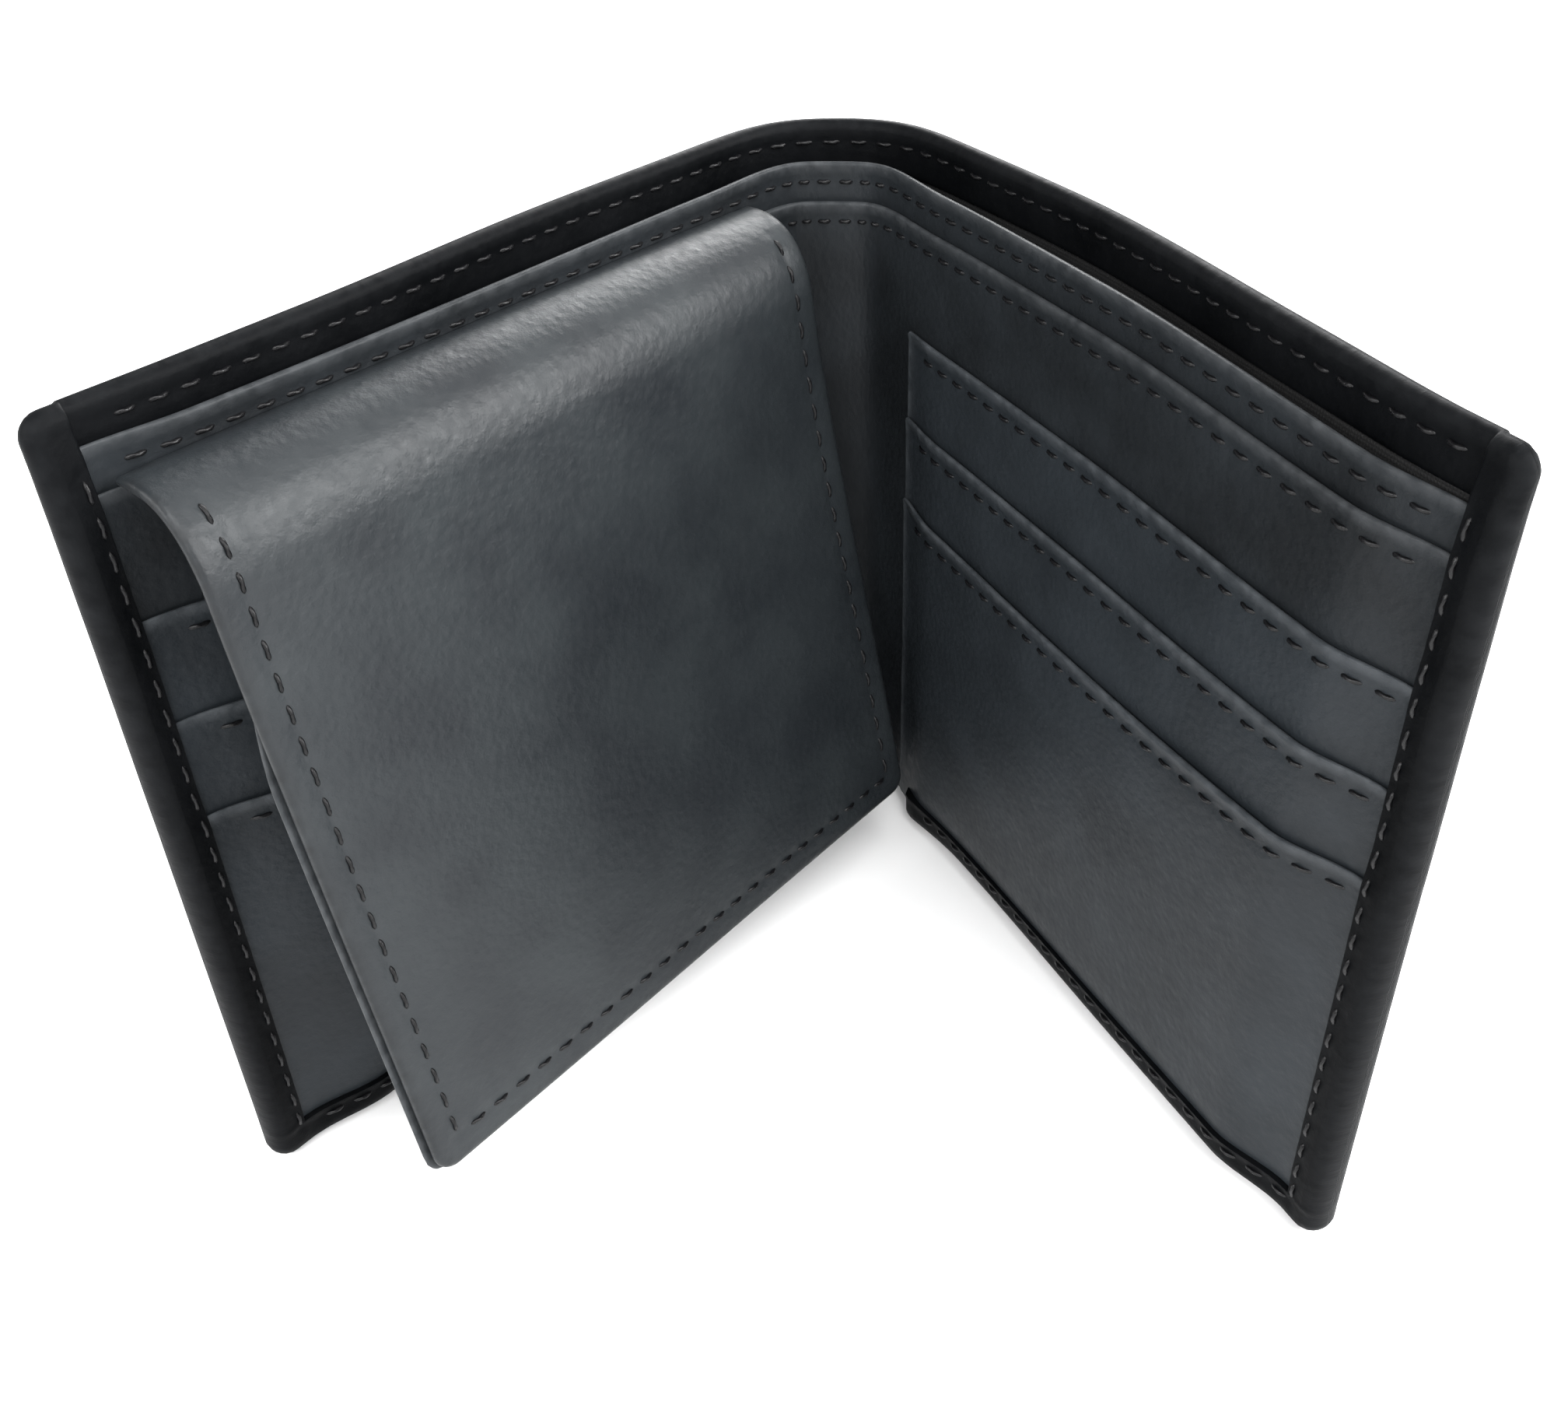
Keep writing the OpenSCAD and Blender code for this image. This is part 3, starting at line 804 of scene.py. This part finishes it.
wing_q = spread(WING_LOW_Q, WING_HIGH_Q, 0.85, [
    *rim_lines(WING_LOW_Q, 0.7, 1), *rim_lines(WING_HIGH_Q, 0.7, -1),
    *row_lines(WING_LOW_Q + WING_SEAM), *row_lines(WING_HIGH_Q - WING_SEAM),
])
shoulder_z = spread(-SPLIT, 0, 0.6, [*rim_lines(0, 0.4, -1), *cut_lines(-SPLIT, 1)])
wing_z = spread(-WING_END, -SPLIT, 0.85, [
    *rim_lines(-WING_END, 0.7, 1), *row_lines(-WING_END + WING_SEAM), *cut_lines(-SPLIT, -1),
])
piece = make_sheet(
    "wing_shoulder", "wing_leather", wing_q, shoulder_z, wing_front,
    lambda q, z: wing_lip(q, z) + 0.3 * (1 - smooth(0, 3, -z)), (1, 1, 0, 1),
    shape=wing_shape, held="hung",
)
shoulder_blend(piece)
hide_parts("wing_anchor", "wing_hinge", "wing_top")
piece = make_sheet("wing_leather_face", "wing_leather", wing_q, wing_z, wing_front, wing_lip, (1, 1, 1, 0),
                   radius=CORNER_R, shape=wing_shape, held="hung")
wing_blend(piece)
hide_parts("wing_front")

# The wing's back: a leather frame round a clear window, with the board behind it
back_low = WING_LOW_Q - 0.3
back_high = WING_HIGH_Q + 0.6


def frame_shape(q, off, z):
    """The frame's outer edges draw in under the front leather towards the top."""
    drawn = 2.5 * (1 - smooth(SPLIT + 6, SPLIT + 26, -z))
    middle = (back_low + back_high) / 2
    return wing_shape(q - drawn * ((q - middle) / (back_high - middle)) ** 5, off, z)


window_top = -(SPLIT + 13 + FRAME_BORDER)
window = (WING_LOW_Q + FRAME_BORDER, WING_HIGH_Q - FRAME_BORDER, -WING_END + FRAME_BORDER, window_top)
frame_q = spread(back_low, back_high, 1.5, [
    *rim_lines(back_low, 0.25, 1), *rim_lines(back_high, 0.25, -1), window[0], window[1],
    *rim_lines(window[0], 0.25, -1), *rim_lines(window[1], 0.25, 1),
])
frame_z = spread(-WING_END - 0.2, -SPLIT, 1.5, [
    *rim_lines(-WING_END - 0.2, 0.25, 1), *cut_lines(-SPLIT, -1), window[2], window[3],
    *rim_lines(window[2], 0.25, -1), *rim_lines(window[3], 0.25, 1),
])
piece = make_sheet("wing_back_frame", "inner_leather", frame_q, frame_z,
                   lambda q, z: np.full_like(q, FRAME_T - WING_T), lambda q, z: np.full_like(q, -WING_T),
                   (1, 1, 1, 0), radius=CORNER_R, shape=frame_shape, hole=window, held="hung")
wing_blend(piece)
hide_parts("window_frame")
window_v = FRAME_T - WING_T
board_v = window_v + WINDOW_T
for name, look, low, high, margin, node in (
    ("wing_window", "clear_vinyl", window_v, board_v, 3.6, "id_window"),
    ("wing_stiffener", "board", board_v, board_v + BOARD_T, 3.8, "wing_board"),
):
    piece = make_sheet(
        name, look,
        spread(WING_LOW_Q + margin, WING_HIGH_Q - margin, 2.0, []),
        spread(-WING_END + margin, -SPLIT - 12, 2.0, []),
        lambda q, z, high=high: np.full_like(q, high - 0.01),
        lambda q, z, low=low: np.full_like(q, low + 0.01),
        shape=wing_shape, held="hung",
    )
    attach(piece, "wing")
    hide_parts(node)

# The backing: sewn to the inner body, up over the hinge line and down the wing's back
BACKING_HALF_T = 0.25
behind = FACE[1] - (WING_T - BACKING_HALF_T) * FACE[2]
split_v, split_z = (float(np.interp(SPLIT, FACE[0], behind[:, axis])) for axis in (0, 1))
split_down = -np.array([
    np.interp(SPLIT, FACE[0], -FACE[2][:, 1]), np.interp(SPLIT, FACE[0], FACE[2][:, 0]),
])
join = np.array([split_v, split_z])
BACKING = profile([np.array(p) for p in (
    (3.1, 78.5), (3.1, 81.0), (3.1, 82.5), (3.4, 84.0),
    (3.9, 86.9),
)] + [join - 3.2 * split_down, join])
backing_z = spread(-BACKING[0][-1], 0, 0.8, cut_lines(-BACKING[0][-1], 1))
backing_q = spread(WING_LOW_Q + 2.2, WING_HIGH_Q - 4.5, 1.5, [])
piece = make_sheet(
    "wing_backing", "inner_leather", backing_q, backing_z,
    lambda q, z: np.full_like(q, BACKING_HALF_T), lambda q, z: np.full_like(q, -BACKING_HALF_T),
    (1, 1, 0, 1), shape=on_profile(BACKING, False), held="hung",
)
shoulder_blend(piece)


# ---------------------------------------------------------------- thread
def stitches(row, face, shape, sag, keep, out=1.0):
    """Rings of every stitch of a row: short, twisted and sunk at both ends."""
    start = np.arange(row["from"], row["to"] - 0.1, STITCH) + STITCH / 2
    start = start[keep(start)] if row["way"] == "level" else start
    if len(start) == 0:
        return np.zeros((0, 3)), np.zeros((0, 3)), []
    rings, around = 9, 10
    run = np.linspace(-1, 1, rings)
    turn = np.linspace(0, 2 * math.pi, around, endpoint=False)
    along = start[:, None] + run[None] * STITCH_L / 2
    across = np.full_like(along, row["at"])
    q, z = (along, across) if row["way"] == "level" else (across, along)

    def at(off):
        return shape(q, face(q, z) + off, z - (sag(q, z) if sag else 0))
    centre = at(0)
    normal = at(out) - centre
    normal /= np.linalg.norm(normal, axis=-1, keepdims=True)
    way = np.gradient(centre, axis=1)
    way /= np.linalg.norm(way, axis=-1, keepdims=True)
    side = np.cross(way, normal)
    lift = (0.17 * (1 - run ** 2) - 0.07)[None, :, None]
    thick = THREAD_R * np.sqrt(np.clip(1 - np.abs(run) ** 5, 0.02, 1))
    ply = 1 + 0.16 * np.cos(2 * turn[None, :] - 5.5 * run[:, None])
    radius = (thick[:, None] * ply)[None, :, :, None]
    cos_turn = np.cos(turn)[None, None, :, None]
    sin_turn = np.sin(turn)[None, None, :, None]
    circle = normal[:, :, None] * cos_turn + side[:, :, None] * sin_turn
    points = (centre + normal * lift)[:, :, None] + circle * radius
    flat = np.stack(np.broadcast_arrays(q[:, :, None], z[:, :, None], turn[None, None] * 0.3), -1)
    count = len(start)
    base = np.arange(count * rings * around).reshape(count, rings, around)
    ahead = np.roll(base, -1, 2)
    quads = np.stack([base[:, :-1], ahead[:, :-1], ahead[:, 1:], base[:, 1:]], -1).reshape(-1, 4).tolist()
    ends = base[:, 0, ::-1].tolist() + base[:, -1].tolist()
    return points.reshape(-1, 3), flat.reshape(-1, 3), quads + ends


def thread_piece(name, runs):
    """One piece from several rows of stitches."""
    points, flats, faces, count = [], [], [], 0
    for run_points, run_flat, run_faces in runs:
        points.append(run_points)
        flats.append(run_flat)
        faces += [[p + count for p in ring] for ring in run_faces]
        count += len(run_points)
    points = np.concatenate(points)
    return add_mesh(name, points, faces, "thread", np.concatenate(flats), np.zeros(len(points)))


def everywhere(q):
    return np.ones(len(q), bool)


def kept(side):
    """Test for the stitches on one side of the fold, or on the fold itself when side is 0."""
    def keep(q):
        return np.abs(q) < CUT if side == 0 else side * q > CUT
    return keep


def edge_rows(side):
    """The cover's rows of thread on one side of the fold, or on the fold itself when side is 0."""
    keep = kept(side)
    runs = []
    for row in PERIMETER:
        if row["way"] == "upright" and side * row["at"] <= 0:
            continue
        runs.append(stitches(row, cover_front, place, None, keep))
        runs.append(stitches(row, cover_back, place, None, keep, out=-1.0))
    return runs


def leaf_rows(side):
    """The inner leaves' rows of thread."""
    keep = kept(side)
    runs = []
    for name in ("divider", "body"):
        row, face, sag = ROWS[name]
        keep_here = keep
        if name == "body":
            def keep_here(q):
                return keep(q) & (q < STRIP + 6)
        runs.append(stitches(row, face, place, sag, keep_here))
    if side:
        for kind in ("top", "middle", "bottom"):
            row, face, sag = ROWS[f"pocket_{kind}_{'left' if side > 0 else 'right'}"]
            runs.append(stitches(row, face, place, sag, everywhere))
    return runs


for side, side_name in ((1, "left"), (-1, "right")):
    piece = thread_piece(f"thread_edge_{side_name}", edge_rows(side))
    side_blend(piece, side, COVER_BACK, HEM_T)
    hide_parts(f"stitching_hem_{side_name}")
    piece = thread_piece(f"thread_{side_name}", leaf_rows(side))
    side_blend(piece, side, *LEAF_DEPTHS, start_q=LOOSE_Q if side < 0 else SNUG_Q)
    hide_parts(f"stitching_{side_name}")
piece = thread_piece("thread_edge_fold", edge_rows(0))
middle_blend(piece, COVER_BACK, HEM_T)
piece = thread_piece("thread_fold", leaf_rows(0))
middle_blend(piece, *LEAF_DEPTHS)


def wing_runs(low, high):
    """The wing's stitches between two distances down it, without a stitch that crosses either end."""
    runs = []
    for row in WING_ROWS:
        part = dict(row)
        if row["way"] == "upright":
            count_low = math.ceil((-high - row["from"]) / STITCH - 0.5)
            count_high = math.ceil((-low - row["from"]) / STITCH - 0.5)
            part["from"] = row["from"] + STITCH * max(count_low, 0)
            part["to"] = min(row["from"] + STITCH * count_high, row["to"])
        elif high < WING_END:
            continue
        if part["to"] - part["from"] > 0.5 * STITCH:
            runs.append(stitches(part, wing_front, wing_shape, None, everywhere))
    return runs


piece = thread_piece("thread_shoulder", wing_runs(0, SPLIT))
shoulder_blend(piece)
piece = thread_piece("thread_wing", wing_runs(SPLIT, WING_END + 1))
wing_blend(piece)
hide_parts("stitching_wing")

# ---------------------------------------------------------------- floor, light and camera
FLOOR_Z = -0.2 * MM
BACKDROP_FAR = 8.0
BACKDROP_HIGH = 2.6
floor_material, floor_tree, floor_shader = nodes_of("studio_floor")
floor_noise = add(floor_tree, "ShaderNodeTexNoise", Scale=6.0, Detail=2.0)
floor_rough = ramp(floor_tree, floor_noise.outputs["Fac"], 0.3, 0.7, 0.75, 0.85)
floor_tree.links.new(floor_rough, floor_shader.inputs["Roughness"])
floor_shader.inputs["Base Color"].default_value = (0.92, 0.92, 0.92, 1)
floor_shader.inputs["Specular IOR Level"].default_value = 0.1
bpy.ops.mesh.primitive_plane_add(size=2 * BACKDROP_FAR, location=(0, 0, FLOOR_Z))
floor = bpy.context.object
floor.name = "studio_floor"
bpy.ops.mesh.primitive_cylinder_add(vertices=96, radius=0.98 * BACKDROP_FAR, depth=BACKDROP_HIGH,
                                    end_fill_type="NOTHING", location=(0, 0, FLOOR_Z + BACKDROP_HIGH / 2))
backdrop = bpy.context.object
backdrop.name = "studio_backdrop"
for surface in (floor, backdrop):
    surface.data.materials.append(floor_material)

world = bpy.data.worlds.new("studio")
scene.world = world
world.use_nodes = True
background = world.node_tree.nodes["Background"]
background.inputs["Color"].default_value = (0.97, 0.985, 1.0, 1)
background.inputs["Strength"].default_value = 0.12


def softbox(name, towards, distance, width, height, power, aim=(0, 0, 0.05)):
    """A soft rectangular lamp that shines on the wallet's middle height."""
    data = bpy.data.lights.new(name, "AREA")
    data.shape = "RECTANGLE"
    data.size, data.size_y = width, height
    data.energy = power
    lamp = bpy.data.objects.new(name, data)
    scene.collection.objects.link(lamp)
    way = Vector(towards).normalized()
    lamp.location = Vector(aim) + way * distance
    lamp.rotation_mode = "QUATERNION"
    lamp.rotation_quaternion = way.to_track_quat("Z", "Y")


softbox("key_softbox", (0.94, -0.07, 0.42), 0.8, 0.5, 0.3, 11.5)
sun = bpy.data.objects.new("sky_light", bpy.data.lights.new("sky_light", "SUN"))
sun.data.energy = 4.1
sun.data.angle = math.radians(42)
scene.collection.objects.link(sun)
sun.rotation_mode = "QUATERNION"
sun.rotation_quaternion = Vector((0.45, -0.35, 1.0)).to_track_quat("Z", "Y")
softbox("left_softbox", (-0.7, -0.6, 0.55), 0.9, 0.6, 0.4, 8.0)
softbox("back_softbox", (0.1, 1.0, 0.55), 0.9, 0.6, 0.5, 14.0)
softbox("front_softbox", (0.1, -1.0, 0.6), 0.9, 0.5, 0.4, 6.0)

# Camera: place, yaw, pitch and roll, lens and upward shift
CAMERA_AT = (19.659, -157.672, 151.565)
CAMERA_TURN = (-8.256, 37.312, -2.461)
CAMERA_LENS = 37.01
CAMERA_SHIFT = 0.0397
yaw, pitch, roll = (math.radians(angle) for angle in CAMERA_TURN)
forward = Vector((math.sin(yaw) * math.cos(pitch), math.cos(yaw) * math.cos(pitch), -math.sin(pitch)))
right = Vector((math.cos(yaw), -math.sin(yaw), 0))
above = right.cross(forward)
across = math.cos(roll) * right + math.sin(roll) * above
upward = -math.sin(roll) * right + math.cos(roll) * above
camera = bpy.data.objects.new("camera", bpy.data.cameras.new("camera"))
scene.collection.objects.link(camera)
turned = Matrix((across, upward, -forward)).transposed().to_4x4()
camera.matrix_world = Matrix.Translation(Vector(CAMERA_AT) * MM) @ turned
camera.data.lens = CAMERA_LENS
camera.data.sensor_width = 36
camera.data.shift_y = CAMERA_SHIFT
camera.data.clip_start = 0.01
scene.camera = camera
scene.view_settings.view_transform = "Standard"

bpy.context.view_layer.update()
